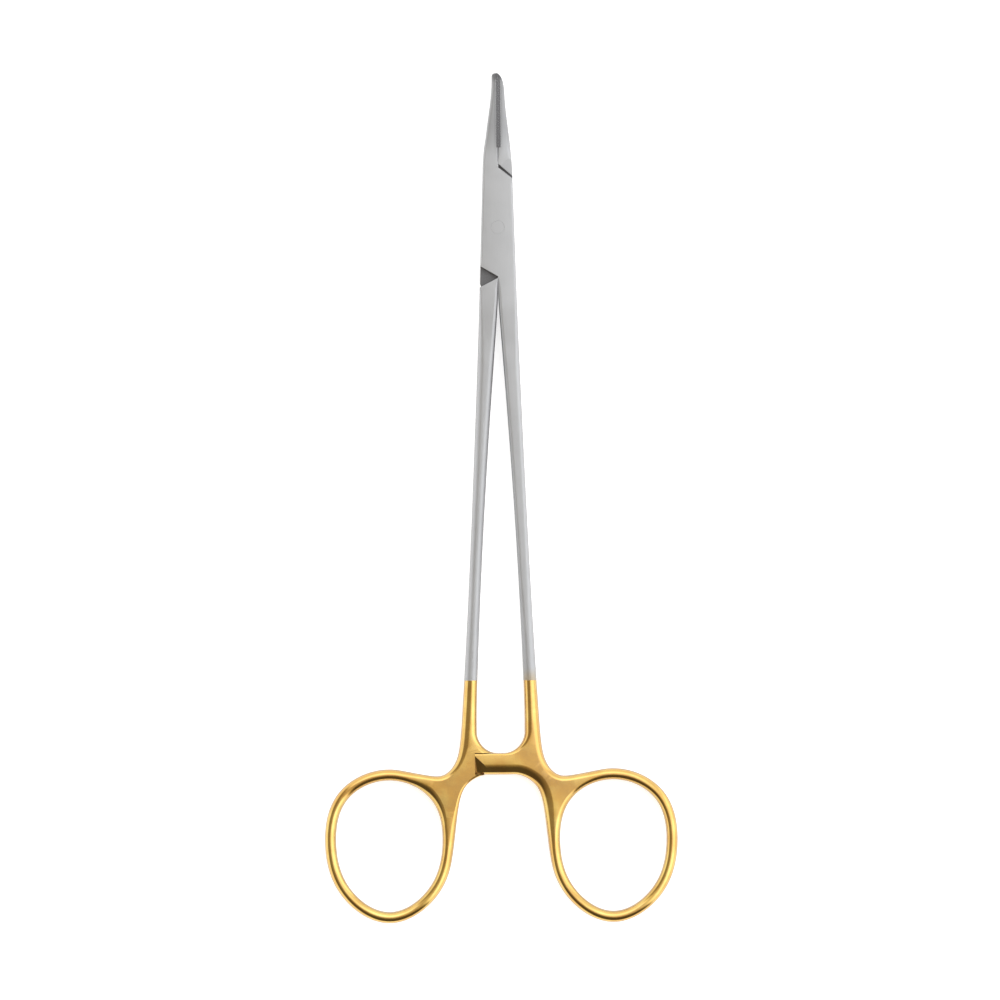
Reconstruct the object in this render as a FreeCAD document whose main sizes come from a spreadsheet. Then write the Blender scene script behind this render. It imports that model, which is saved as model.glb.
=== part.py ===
# Surgical needle holder: two forged steel halves crossing in a box lock, gilt finger rings,
# a three step ratchet between the handles and serrated hard metal strips brazed into the jaws.
# It lies flat: the jaws point along +Y, the finger rings lie towards -Y and +Z is up.
# The origin is on the pivot axis, in the plane of the underside of the lock. Lengths are in mm.

import FreeCAD, Part
import Sketcher
import math
import os

doc = FreeCAD.newDocument("needle_holder")

# Driving sizes. "back" is a distance from the pivot towards the rings, "front" one towards the
# tip, and "side" one from the middle line. Control points shape the smooth curves between edges.
SIZES = [
    ("tip_front", 32.8, "pivot to the nose of the jaws"),
    ("lock_thickness", 5.0, "thickness of the box lock"),
    ("lock_flat_front", 14.0, "end of the flat faces of the lock, towards the tip"),
    ("lock_flat_back", 15.0, "end of the flat faces of the lock, towards the rings"),
    ("shank_thickness", 4.1, "thickness of the shanks just behind the lock"),
    ("shoulder_back", 26.0, "where the lock has run down to the thickness of the shanks"),
    ("handle_thickness", 3.3, "thickness of the rings and of the webs beside them"),
    ("handle_back", 104.0, "where the shanks have thinned to the handle thickness"),
    ("tip_thickness", 2.2, "thickness of the jaws at the tip"),
    ("jaw_root_front", 12.0, "where the jaws begin to taper in width"),
    ("jaw_root_side", 3.14, "half width of the lock where the jaws begin"),
    ("crotch_back", 14.0, "where the shanks begin to part"),
    ("crotch_side", 3.94, "half width of the lock where the shanks begin to part"),
    ("jaw_seam_side", 0.25, "side offset of the seam between the jaws"),
    ("seam_gap", 0.06, "play across the seam of the lock"),
    ("jaw_relief", 0.1, "how far each steel jaw face lies behind the seam"),
    ("jaw_lead", 4.0, "straight lead from the lock into the outer edge of a jaw"),
    ("left_jaw_upper_side", 2.53, "first control point of the left jaw, sideways"),
    ("left_jaw_upper_front", 18.2, "first control point of the left jaw, forwards"),
    ("left_jaw_lower_side", 1.99, "second control point of the left jaw, sideways"),
    ("left_jaw_lower_front", 22.9, "second control point of the left jaw, forwards"),
    ("left_nose_side", 1.15, "outer edge of the left jaw at its nose"),
    ("left_nose_front", 31.2, "where the outer edge of the left jaw runs straight"),
    ("left_nose_lead", 2.8, "straight lead into that edge"),
    ("nose_round", 0.65, "rounding of the left nose"),
    ("right_jaw_upper_side", 1.52, "first control point of the right jaw, sideways"),
    ("right_jaw_upper_front", 26.3, "first control point of the right jaw, forwards"),
    ("right_jaw_lower_side", 1.71, "second control point of the right jaw, sideways"),
    ("right_jaw_lower_front", 29.5, "second control point of the right jaw, forwards"),
    ("right_nose_drop", 0.08, "how much shorter the right jaw is"),
    ("right_nose_side", 1.08, "control point of the right nose, sideways"),
    ("right_nose_front", 32.22, "control point of the right nose, forwards"),
    ("shank_lead", 8.0, "straight lead from the lock into the outer edge of a shank"),
    ("shank_outer_side", 6.16, "control point of the outer edge of a shank, sideways"),
    ("shank_outer_back", 70.8, "control point of the outer edge of a shank, backwards"),
    ("crotch_lead", 1.5, "straight lead into the inner edge of a shank"),
    ("fork_side", 0.74, "first control point of the inner edge of a shank, sideways"),
    ("fork_back", 25.0, "first control point of the inner edge of a shank, backwards"),
    ("shank_inner_side", 3.68, "second control point of the inner edge of a shank, sideways"),
    ("shank_inner_back", 64.9, "second control point of the inner edge of a shank, backwards"),
    ("neck_back", 104.4, "station where the shanks run into the handles"),
    ("neck_inner_side", 5.03, "inner edge of a shank at the neck"),
    ("neck_width", 3.22, "width of a shank at the neck"),
    ("neck_inner_lead", 6.0, "straight lead of the inner edge above the neck"),
    ("neck_outer_lead", 12.0, "straight lead of the outer edge above the neck"),
    ("neck_flare", 0.066, "slope of the outer edge at the neck"),
    ("gap_round", 4.6, "rounding in the bottom of the gap between the shanks"),
    ("arm_top_back", 111.35, "upper edge of the ratchet arms"),
    ("arm_bottom_back", 115.95, "lower edge of the ratchet arms"),
    ("arm_reach", 5.3, "how far a ratchet arm passes the middle line"),
    ("arm_clearance", 0.3, "play between an arm and the step it lies in"),
    ("ring_side", 23.75, "middle of a finger ring, from the middle line"),
    ("ring_back", 131.0, "middle of a finger ring, from the pivot"),
    ("hole_half_width", 11.2, "half the width of the finger hole"),
    ("hole_half_height", 13.9, "half the height of the finger hole"),
    ("hole_shoulder_side", 9.1, "upper corners of the finger hole, sideways"),
    ("hole_shoulder_rise", 9.5, "upper corners of the finger hole, upwards"),
    ("hole_hip_side", 8.7, "lower corners of the finger hole, sideways"),
    ("hole_hip_drop", 8.35, "lower corners of the finger hole, downwards"),
    ("ring_wall", 2.45, "width of the ring's rim"),
    ("cheek_lead", 5.35, "straight lead of the outer edge below the neck"),
    ("cheek_side", 9.24, "first control point between neck and ring, sideways"),
    ("cheek_back", 113.4, "first control point between neck and ring, backwards"),
    ("valley_side", 12.2, "second control point between neck and ring, sideways"),
    ("valley_back", 116.7, "second control point between neck and ring, backwards"),
    ("valley_lead", 6.0, "lead from the valley into the top of the ring"),
    ("arch_flat_side", 3.0, "half width of the flat top of the arch below the ratchet"),
    ("arch_lead", 1.2, "straight lead into the arch"),
    ("arch_side", 7.43, "first control point of the arch, sideways"),
    ("arch_back", 117.4, "first control point of the arch, backwards"),
    ("web_side", 9.26, "second control point of the arch, sideways"),
    ("web_back", 121.7, "second control point of the arch, backwards"),
    ("web_lead", 3.0, "lead from the arch into the ring"),
    ("edge_bevel", 0.9, "bevel of the edges of shanks, rings and ratchet arms"),
    ("bevel_wall_ease", 0.3, "smaller bevel where that bevel meets the walls"),
    ("bevel_face_ease", 0.2, "smaller bevel where that bevel meets the faces"),
    ("jaw_edge_bevel", 0.45, "bevel of the outer edges of the jaws"),
    ("stop_angle", 60.0, "opening at which the tongue meets its stop, in degrees"),
    ("pin_radius", 1.4, "radius of the pivot pin"),
    ("pin_clearance", 0.03, "radial play of the tongue on the pin"),
    ("tongue_thickness", 1.9, "thickness of the tongue through the lock"),
    ("lock_clearance", 0.05, "play of the tongue in its slot"),
    ("wall_front", 13.4, "where the upper edge of the lock's walls meets the seam"),
    ("wall_front_fall", 2.6, "how far that edge falls towards the side"),
    ("wall_back", 10.4, "where the lower edge of the lock's walls meets the seam"),
    ("wall_back_rise", 1.9, "how far that edge rises towards the side"),
    ("jaw_shoulder_gap", 0.45, "gap between the walls and the shoulder of the right jaw"),
    ("shank_shoulder_gap", 0.3, "gap between the walls and the shoulder of the left shank"),
    ("shank_shoulder_fall", 2.0, "how far the shoulder of the left shank falls to the side"),
    ("strip_front", 31.6, "front end of the jaw strips"),
    ("strip_length", 14.7, "length of the jaw strips"),
    ("strip_thickness", 0.48, "thickness of the jaw strips"),
    ("strip_gap", 0.04, "gap between the closed strips"),
    ("serration_pitch", 0.8, "spacing of the serrations"),
    ("serration_depth", 0.15, "depth of the serrations"),
    ("tooth_count", 3, "teeth on each ratchet arm"),
    ("tooth_pitch", 1.5, "spacing of the ratchet teeth"),
    ("tooth_height", 0.5, "height of the ratchet teeth"),
    ("tooth_clearance", 0.05, "height of the tooth crests above the middle plane"),
]

sheet = doc.addObject("Spreadsheet::Sheet", "sizes")
for row, (alias, value, meaning) in enumerate(SIZES, start=1):
    sheet.set(f"A{row}", meaning)
    sheet.set(f"B{row}", str(value))
    sheet.setAlias(f"B{row}", alias)
doc.recompute()


def size(alias):
    return float(sheet.get(alias))


def point(side, front):
    return FreeCAD.Vector(side, front, 0)


def at(side_alias, back_alias):
    """A point on the right, at the named distances from the middle line and behind the pivot."""
    return point(size(side_alias), -size(back_alias))


def line(start, end):
    return Part.LineSegment(start, end)


def flow(*control_points):
    """A smooth curve that leaves its first control point and reaches its last one along the
    first and last legs of their polygon."""
    curve = Part.BSplineCurve()
    curve.buildFromPoles(list(control_points), False, min(3, len(control_points) - 1))
    return curve


def corner_arc(start, centre, end):
    """The arc about a centre from start to end, by way of the point halfway between them."""
    middle = (start - centre) + (end - centre)
    middle.normalize()
    return Part.Arc(start, centre + middle * (start - centre).Length, end)


def meeting_point(start_a, end_a, start_b, end_b):
    """Where the straight lines through two pairs of points cross."""
    run_a = end_a - start_a
    run_b = end_b - start_b
    turn = run_a.x * run_b.y - run_a.y * run_b.x
    offset = start_b - start_a
    return start_a + run_a * ((offset.x * run_b.y - offset.y * run_b.x) / turn)


def mirrored(curves):
    """The same curves on the other side of the middle line."""
    result = []
    for curve in curves:
        copy = curve.copy()
        copy.mirror(FreeCAD.Vector(0, 0, 0), FreeCAD.Vector(0, 1, 0))
        result.append(copy)
    return result


# Lock: its straight sides, its stop and the diagonal edges of its walls.

half_seam = size("seam_gap") / 2
side_start = point(size("jaw_root_side"), size("jaw_root_front"))
side_end = at("crotch_side", "crotch_back")
side_direction = side_end - side_start
side_direction.normalize()


def side_at(front):
    """The point of the lock's right side at a station along the part."""
    return side_start + side_direction * ((front - side_start.y) / side_direction.y)


def leftwards(place):
    return point(-place.x, place.y)


side_foot = side_start - side_direction * side_start.dot(side_direction)
hub_radius = side_foot.Length


def stop_line(foot, clearance):
    """Two points of the line that a side of the lock, whose nearest point to the pivot is foot,
    reaches when it has turned by the stop angle, moved out by the clearance."""
    turn = FreeCAD.Rotation(FreeCAD.Vector(0, 0, 1), -size("stop_angle"))
    outward = turn.multVec(foot)
    outward.normalize()
    along = point(-outward.y, outward.x)
    start = outward * (hub_radius + clearance)
    return start, start + along


wall_front_start = point(size("jaw_seam_side") - half_seam, size("wall_front"))
wall_front_end = side_at(size("wall_front") - size("wall_front_fall"))
wall_back_start = point(half_seam, -size("wall_back"))
wall_back_end = leftwards(side_at(size("wall_back_rise") - size("wall_back")))


# Handles: shank, ratchet arm and ring of one half, drawn on the right hand side.

def ring_outline(wall):
    """Closed curve through the four extremes and four corners of the finger hole, each moved
    outwards square to the ellipse through the extremes by the thickness of the wall."""
    middle = at("ring_side", "ring_back")
    wide = size("hole_half_width")
    high = size("hole_half_height")
    shoulder = (size("hole_shoulder_side"), size("hole_shoulder_rise"))
    hip = (size("hole_hip_side"), size("hole_hip_drop"))
    offsets = [point(-wide, 0), point(-hip[0], -hip[1]), point(0, -high), point(hip[0], -hip[1]),
               point(wide, 0), point(*shoulder), point(0, high), point(-shoulder[0], shoulder[1])]
    places = []
    for offset in offsets:
        outward = point(offset.x / wide ** 2, offset.y / high ** 2)
        outward.normalize()
        places.append(middle + offset + outward * wall)
    curve = Part.BSplineCurve()
    curve.interpolate(Points=places, PeriodicFlag=True)
    return curve


RIM_START_SHARE = 0.06
RIM_END_SHARE = 0.775


def ring_rim():
    """Outer edge of the ring, from the web round the bottom and the outside to the top."""
    rim = ring_outline(size("ring_wall"))
    first = rim.FirstParameter
    whole = rim.LastParameter - first
    rim.segment(first + whole * RIM_START_SHARE, first + whole * RIM_END_SHARE)
    return rim


def shank_inner_edge():
    """From the crotch down to the neck. It starts along the seam of the lock."""
    start = point(half_seam, -size("crotch_back"))
    end = at("neck_inner_side", "neck_back")
    return flow(start,
                start - point(0, size("crotch_lead")),
                at("fork_side", "fork_back"),
                at("shank_inner_side", "shank_inner_back"),
                end + point(0, size("neck_inner_lead")),
                end)


def neck_outer_point():
    return point(size("neck_inner_side") + size("neck_width"), -size("neck_back"))


def neck_outer_direction():
    direction = point(size("neck_flare"), -1)
    direction.normalize()
    return direction


def shank_outer_edge():
    """From the neck up to the side of the lock."""
    end = neck_outer_point()
    return flow(end,
                end - neck_outer_direction() * size("neck_outer_lead"),
                at("shank_outer_side", "shank_outer_back"),
                side_end + side_direction * size("shank_lead"),
                side_end)


def handle_edge(top_inner, top_outer):
    """The edge of one handle, down the inside from a point on the seam, round the ratchet arm
    and the ring and up the outside to a point on the lock's side."""
    inner = shank_inner_edge()
    neck_inner = at("neck_inner_side", "neck_back")
    arm_top = -size("arm_top_back")
    arm_bottom = -size("arm_bottom_back")
    arm_end = -size("arm_reach")
    gap_centre = point(neck_inner.x - size("gap_round"), arm_top + size("gap_round"))
    gap_start = point(neck_inner.x, gap_centre.y)
    gap_end = point(gap_centre.x, arm_top)
    arch_start = point(size("arch_flat_side"), arm_bottom)
    rim = ring_rim()
    rim_start_direction = rim.tangent(rim.FirstParameter)[0]
    rim_end_direction = rim.tangent(rim.LastParameter)[0]
    arch = flow(arch_start,
                arch_start + point(size("arch_lead"), 0),
                at("arch_side", "arch_back"),
                at("web_side", "web_back"),
                rim.StartPoint - rim_start_direction * size("web_lead"),
                rim.StartPoint)
    valley = flow(rim.EndPoint,
                  rim.EndPoint + rim_end_direction * size("valley_lead"),
                  at("valley_side", "valley_back"),
                  at("cheek_side", "cheek_back"),
                  neck_outer_point() + neck_outer_direction() * size("cheek_lead"),
                  neck_outer_point())
    return [line(top_inner, inner.StartPoint),
            inner,
            line(neck_inner, gap_start),
            corner_arc(gap_start, gap_centre, gap_end),
            line(gap_end, point(arm_end, arm_top)),
            line(point(arm_end, arm_top), point(arm_end, arm_bottom)),
            line(point(arm_end, arm_bottom), arch_start),
            arch,
            rim,
            valley,
            shank_outer_edge(),
            line(side_end, top_outer)]


# Jaws: outer edges from the lock to the nose.

def left_jaw_edge():
    """Outer edge of the left jaw from its seam face round the nose to the lock."""
    seam = size("jaw_seam_side") - size("jaw_relief")
    tip = size("tip_front")
    outside = -size("left_nose_side")
    radius = size("nose_round")
    centre = point(outside + radius, tip - radius)
    straight_end = point(outside, size("left_nose_front"))
    root = leftwards(side_start)
    root_direction = leftwards(side_direction) * -1
    edge = flow(straight_end,
                straight_end - point(0, size("left_nose_lead")),
                point(-size("left_jaw_lower_side"), size("left_jaw_lower_front")),
                point(-size("left_jaw_upper_side"), size("left_jaw_upper_front")),
                root + root_direction * size("jaw_lead"),
                root)
    return [line(point(seam, tip), point(centre.x, tip)),
            corner_arc(point(centre.x, tip), centre, point(outside, centre.y)),
            line(point(outside, centre.y), straight_end),
            edge]


def right_jaw_edge():
    """Outer edge of the right jaw from the lock to its seam face at the nose."""
    seam = size("jaw_seam_side") + size("jaw_relief")
    end = point(seam, size("tip_front") - size("right_nose_drop"))
    return [flow(side_start,
                 side_start - side_direction * size("jaw_lead"),
                 point(size("right_jaw_upper_side"), size("right_jaw_upper_front")),
                 point(size("right_jaw_lower_side"), size("right_jaw_lower_front")),
                 point(size("right_nose_side"), size("right_nose_front")),
                 end)]


# Helpers for the features of a body.

def bind(feature, prop, expression):
    feature.setExpression(prop, expression)


def make_body(name):
    """A body whose own middle plane is the middle plane of the lock."""
    body = doc.addObject("PartDesign::Body", name)
    body.Label = name
    bind(body, ".Placement.Base.z", "sizes.lock_thickness / 2")
    return body


def sketch_on(body, role, name):
    sketch = body.newObject("Sketcher::SketchObject", name)
    plane = next(item for item in body.Origin.OriginFeatures if item.Role == role)
    sketch.AttachmentSupport = [(plane, "")]
    sketch.MapMode = "FlatFace"
    return sketch


def draw(sketch, curves):
    """Adds connected curves whose shape is worked out above, and fixes them in place."""
    for curve in curves:
        index = sketch.addGeometry(curve, False)
        sketch.addConstraint(Sketcher.Constraint("Block", index))


def draw_polygon(sketch, corners):
    """A closed polygon through corners given as points."""
    following = corners[1:] + corners[:1]
    draw(sketch, [line(start, end) for start, end in zip(corners, following)])


def draw_bound_rectangle(sketch, low_x, high_x, low_y, high_y):
    """A rectangle whose sides are bound to four expressions."""
    x0, x1, y0, y1 = [float(sketch.evalExpression(text)) for text in (low_x, high_x, low_y, high_y)]
    corners = [point(x0, y0), point(x1, y0), point(x1, y1), point(x0, y1)]
    sides = [sketch.addGeometry(line(start, end), False)
             for start, end in zip(corners, corners[1:] + corners[:1])]
    for side, following in zip(sides, sides[1:] + sides[:1]):
        sketch.addConstraint(Sketcher.Constraint("Coincident", side, 2, following, 1))
    for side in (sides[0], sides[2]):
        sketch.addConstraint(Sketcher.Constraint("Horizontal", side))
    for side in (sides[1], sides[3]):
        sketch.addConstraint(Sketcher.Constraint("Vertical", side))
    anchors = [("DistanceX", 0, x0, low_x), ("DistanceY", 0, y0, low_y),
               ("DistanceX", 2, x1, high_x), ("DistanceY", 2, y1, high_y)]
    for kind, corner, value, expression in anchors:
        index = sketch.addConstraint(Sketcher.Constraint(kind, -1, 1, sides[corner], 1, value))
        sketch.setExpression(f"Constraints[{index}]", expression)


def draw_circle(sketch, expression):
    """A circle about the pivot whose radius is bound to an expression."""
    radius = float(sketch.evalExpression(expression))
    circle = sketch.addGeometry(Part.Circle(point(0, 0), FreeCAD.Vector(0, 0, 1), radius), False)
    sketch.addConstraint(Sketcher.Constraint("Coincident", circle, 3, -1, 1))
    index = sketch.addConstraint(Sketcher.Constraint("Radius", circle, radius))
    sketch.setExpression(f"Constraints[{index}]", expression)


def pad(body, sketch, name, length):
    feature = body.newObject("PartDesign::Pad", name)
    feature.Profile = sketch
    feature.SideType = "Symmetric"
    bind(feature, "Length", length)
    doc.recompute()
    return feature


def pocket_through(body, sketch, name):
    """Cuts the sketch right through the body, both ways from its plane."""
    feature = body.newObject("PartDesign::Pocket", name)
    feature.Profile = sketch
    feature.SideType = "Symmetric"
    feature.Type = "ThroughAll"
    doc.recompute()
    return feature


def pocket_layer(body, sketch, name, height):
    """Cuts the sketch out of a layer that lies evenly about the sketch's plane."""
    feature = body.newObject("PartDesign::Pocket", name)
    feature.Profile = sketch
    feature.SideType = "Symmetric"
    bind(feature, "Length", height)
    doc.recompute()
    return feature


def cut_faces(body):
    """Thins the body from the lock towards the tip and the rings, alike above and below."""
    lock = size("lock_thickness") / 2
    shank = size("shank_thickness") / 2
    handle = size("handle_thickness") / 2
    nose = size("tip_thickness") / 2
    behind = -size("ring_back") - size("hole_half_height") - 2 * size("ring_wall")
    beyond = size("tip_front") + size("ring_wall")
    above = size("lock_thickness")
    handle_end = point(-size("handle_back"), handle)
    shank_start = point(-size("shoulder_back"), shank)
    lock_end = point(-size("lock_flat_back"), lock)
    lock_start = point(size("lock_flat_front"), lock)
    tip = point(size("tip_front"), nose)
    taper = (shank_start - handle_end) / 4
    shoulder = (lock_end.x - shank_start.x) / 3
    jaw = (tip - lock_start) / 3
    fall = (tip - lock_start - point(jaw.x, 0)).normalize()
    end = tip + fall * ((beyond - tip.x) / fall.x)
    upper = [line(point(behind, handle), handle_end),
             flow(handle_end, handle_end + point(taper.x, 0), shank_start - taper, shank_start),
             flow(shank_start, shank_start + taper * (shoulder / taper.x),
                  lock_end - point(shoulder, 0), lock_end),
             line(lock_end, lock_start),
             flow(lock_start, lock_start + point(jaw.x, 0), tip - fall * jaw.x, tip),
             line(tip, end),
             line(end, point(beyond, above)),
             line(point(beyond, above), point(behind, above)),
             line(point(behind, above), point(behind, handle))]
    lower = [curve.copy() for curve in upper]
    for curve in lower:
        curve.mirror(FreeCAD.Vector(0, 0, 0), FreeCAD.Vector(1, 0, 0))
    sketch = sketch_on(body, "YZ_Plane", body.Label + "_faces")
    draw(sketch, upper + lower)
    return pocket_through(body, sketch, body.Label + "_thinning")


def cut_finger_hole(body, side):
    sketch = sketch_on(body, "XY_Plane", body.Label + "_finger_hole")
    hole = [ring_outline(0)]
    draw(sketch, hole if side > 0 else mirrored(hole))
    return pocket_through(body, sketch, body.Label + "_finger_opening")


def edges_along(shape, curves, inset=0):
    """Names of the upper and lower edges that run beside the given plan curves, inset from them."""
    walls = [curve.toShape() for curve in curves]
    names = []
    for number, edge in enumerate(shape.Edges, start=1):
        box = edge.BoundBox
        upright = math.hypot(box.XLength, box.YLength) < 0.05
        halfway = box.ZMin < 0 < box.ZMax or abs(box.Center.z) < size("bevel_wall_ease")
        if upright or halfway:
            continue
        middle = edge.valueAt((edge.FirstParameter + edge.LastParameter) / 2)
        foot = Part.Vertex(point(middle.x, middle.y))
        gap = min(foot.distToShape(wall)[0] for wall in walls)
        if abs(gap - inset) < 0.02:
            names.append(f"Edge{number}")
    return names


def bevel_edges(body, base, curves, name, width, inset=0):
    feature = body.newObject("PartDesign::Chamfer", name)
    feature.Base = (base, edges_along(base.Shape, curves, inset))
    bind(feature, "Size", width)
    doc.recompute()
    return feature


def round_handle(body, base, curves):
    """Three bevels that follow a rounded edge: the main one, then both of its own edges."""
    name = body.Label + "_handle"
    bevelled = bevel_edges(body, base, curves, name + "_bevel", "sizes.edge_bevel")
    eased = bevel_edges(body, bevelled, curves, name + "_wall_ease", "sizes.bevel_wall_ease")
    return bevel_edges(body, eased, curves, name + "_face_ease", "sizes.bevel_face_ease",
                       inset=size("edge_bevel"))


def handle_bevel_edges(edges, side):
    """The plan curves of a handle whose edges are bevelled: all but the arm's square end."""
    kept = edges[:5] + edges[6:]
    hole = [ring_outline(0)]
    return kept + (hole if side > 0 else mirrored(hole))


def cut_arm(body, side):
    """Halves the ratchet arm and the step beside it, and leaves the ratchet teeth standing.
    The arm of the right half (side 1) keeps its upper part, that of the left half its lower."""
    count = int(size("tooth_count"))
    pitch = size("tooth_pitch")
    crest = size("tooth_clearance")
    floor = crest + size("tooth_height")
    reach = size("arm_reach") + size("arm_clearance")
    below = -size("handle_thickness")
    first = count * pitch / 2
    outline = [(reach, below), (reach, floor), (first, floor)]
    for tooth in range(count):
        outline.append((first - tooth * pitch, crest))
        outline.append((first - (tooth + 1) * pitch, floor))
    outline += [(-reach, floor), (-reach, below)]
    sketch = sketch_on(body, "XZ_Plane", body.Label + "_teeth")
    bind(sketch, ".AttachmentOffset.Base.z", "(sizes.arm_top_back + sizes.arm_bottom_back) / 2")
    draw_polygon(sketch, [point(side * across, side * height) for across, height in outline])
    return pocket_layer(body, sketch, body.Label + "_ratchet",
                        "sizes.arm_bottom_back - sizes.arm_top_back + 2 * sizes.arm_clearance")


def cut_circle(body, name, radius):
    """Bores the body through on the pivot axis."""
    sketch = sketch_on(body, "XY_Plane", name + "_circle")
    draw_circle(sketch, radius)
    return pocket_through(body, sketch, name)


# Lines that both halves share on the jaws. The strips lie between these stations.

jaw_face_back = size("strip_front") - size("strip_length")
STRIP_BACK = "sizes.strip_front - sizes.strip_length"
STRIP_FRONT = "sizes.strip_front"
LEFT_STRIP_FACE = "sizes.jaw_seam_side - sizes.strip_gap / 2"
RIGHT_STRIP_FACE = "sizes.jaw_seam_side + sizes.strip_gap / 2"


# Box half: left jaw, slotted lock, right shank, right ring and the upper ratchet arm.

box_half = make_body("box_half")
box_handle = handle_edge(wall_back_start, wall_front_end)
box_jaw = left_jaw_edge()
box_side = line(box_jaw[-1].EndPoint, wall_back_end)
box_jaw_face = point(size("jaw_seam_side") - size("jaw_relief"), jaw_face_back)
box_outline = sketch_on(box_half, "XY_Plane", "box_half_outline")
draw(box_outline, box_handle)
draw(box_outline, [line(wall_front_end, wall_front_start),
                   line(wall_front_start, box_jaw_face),
                   line(box_jaw_face, box_jaw[0].StartPoint)])
draw(box_outline, box_jaw)
draw(box_outline, [box_side, line(wall_back_end, wall_back_start)])
pad(box_half, box_outline, "box_half_blank", "sizes.lock_thickness")
cut_faces(box_half)
box_blank = cut_finger_hole(box_half, 1)
box_rounded = round_handle(box_half, box_blank, handle_bevel_edges(box_handle, 1))
bevel_edges(box_half, box_rounded, box_jaw + [box_side],
            "box_half_jaw_bevel", "sizes.jaw_edge_bevel")

# The slot that the tongue passes through. It is open at the right above and at the left below,
# and its two slanted ends are the stops for the widest opening.
slot_side = size("crotch_side") + size("lock_thickness")
slot_front = point(wall_front_start.x, size("wall_front") + size("wall_front_fall"))
slot_back = point(wall_back_start.x, -size("wall_back") - size("wall_back_rise"))
upper_stop = stop_line(leftwards(side_foot), size("lock_clearance"))
lower_stop = stop_line(side_foot, size("lock_clearance"))
right_border = (point(slot_side, 0), point(slot_side, 1))
left_border = (point(-slot_side, 0), point(-slot_side, 1))
slot = sketch_on(box_half, "XY_Plane", "box_half_slot_outline")
draw_polygon(slot, [meeting_point(*upper_stop, wall_front_start, slot_front),
                    slot_front,
                    point(slot_side, slot_front.y),
                    meeting_point(*lower_stop, *right_border),
                    meeting_point(*lower_stop, wall_back_start, slot_back),
                    slot_back,
                    point(-slot_side, slot_back.y),
                    meeting_point(*upper_stop, *left_border)])
pocket_layer(box_half, slot, "box_half_slot", "sizes.tongue_thickness + 2 * sizes.lock_clearance")
cut_circle(box_half, "box_half_pin_hole", "sizes.pin_radius")
cut_arm(box_half, 1)

box_rebate = sketch_on(box_half, "XY_Plane", "box_half_rebate_outline")
draw_bound_rectangle(box_rebate, LEFT_STRIP_FACE + " - sizes.strip_thickness",
                     LEFT_STRIP_FACE + " + sizes.strip_thickness", STRIP_BACK, STRIP_FRONT)
pocket_through(box_half, box_rebate, "box_half_rebate")


# Tenon half: right jaw, the tongue through the lock, left shank, left ring and lower arm.

tenon_half = make_body("tenon_half")
shank_top = point(half_seam, -size("wall_back") - size("shank_shoulder_gap"))
shank_top_outer = side_at(shank_top.y - size("shank_shoulder_fall"))
tenon_handle = mirrored(handle_edge(shank_top, shank_top_outer))
tenon_outline = sketch_on(tenon_half, "XY_Plane", "tenon_half_shank_outline")
draw(tenon_outline, tenon_handle)
draw(tenon_outline, [line(leftwards(shank_top_outer), leftwards(shank_top))])
pad(tenon_half, tenon_outline, "tenon_half_shank", "sizes.lock_thickness")

# The tongue. It reaches a little into the jaw and the shank and is round about the pin.
TONGUE_BITE = point(0, 0.5)
jaw_seam = size("jaw_seam_side") + half_seam
jaw_bottom = point(jaw_seam, size("wall_front") + size("jaw_shoulder_gap"))
jaw_bottom_outer = side_at(wall_front_end.y + size("jaw_shoulder_gap"))
tongue_jaw_end = jaw_bottom + TONGUE_BITE
tongue_shank_end = leftwards(shank_top) - TONGUE_BITE
tongue_upper_stop = stop_line(leftwards(side_foot), 0)
tongue_lower_stop = stop_line(side_foot, 0)
tongue_upper_corner = meeting_point(*tongue_upper_stop, tongue_jaw_end, jaw_bottom)
tongue_lower_corner = meeting_point(*tongue_lower_stop, tongue_shank_end, leftwards(shank_top))
tongue_side_top = side_at(jaw_bottom_outer.y + TONGUE_BITE.y)
tongue_side_bottom = leftwards(side_at(shank_top_outer.y - TONGUE_BITE.y))
tongue = sketch_on(tenon_half, "XY_Plane", "tenon_half_tongue_outline")
draw(tongue, [line(tongue_shank_end, tongue_side_bottom),
              line(tongue_side_bottom, leftwards(side_foot)),
              corner_arc(leftwards(side_foot), point(0, 0), tongue_upper_stop[0]),
              line(tongue_upper_stop[0], tongue_upper_corner),
              line(tongue_upper_corner, tongue_jaw_end),
              line(tongue_jaw_end, tongue_side_top),
              line(tongue_side_top, side_foot),
              corner_arc(side_foot, point(0, 0), tongue_lower_stop[0]),
              line(tongue_lower_stop[0], tongue_lower_corner),
              line(tongue_lower_corner, tongue_shank_end)])
pad(tenon_half, tongue, "tenon_half_tongue", "sizes.tongue_thickness")

tenon_jaw = right_jaw_edge()
tenon_jaw_side = line(jaw_bottom_outer, side_start)
tenon_jaw_face = point(size("jaw_seam_side") + size("jaw_relief"), jaw_face_back)
jaw_outline = sketch_on(tenon_half, "XY_Plane", "tenon_half_jaw_outline")
draw(jaw_outline, tenon_jaw)
draw(jaw_outline, [line(tenon_jaw[-1].EndPoint, tenon_jaw_face),
                   line(tenon_jaw_face, jaw_bottom),
                   line(jaw_bottom, jaw_bottom_outer),
                   tenon_jaw_side])
pad(tenon_half, jaw_outline, "tenon_half_jaw", "sizes.lock_thickness")
cut_faces(tenon_half)
tenon_blank = cut_finger_hole(tenon_half, -1)
tenon_rounded = round_handle(tenon_half, tenon_blank, handle_bevel_edges(tenon_handle, -1))
bevel_edges(tenon_half, tenon_rounded, tenon_jaw + [tenon_jaw_side],
            "tenon_half_jaw_bevel", "sizes.jaw_edge_bevel")
cut_circle(tenon_half, "tenon_half_bore", "sizes.pin_radius + sizes.pin_clearance")
cut_arm(tenon_half, -1)

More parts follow.
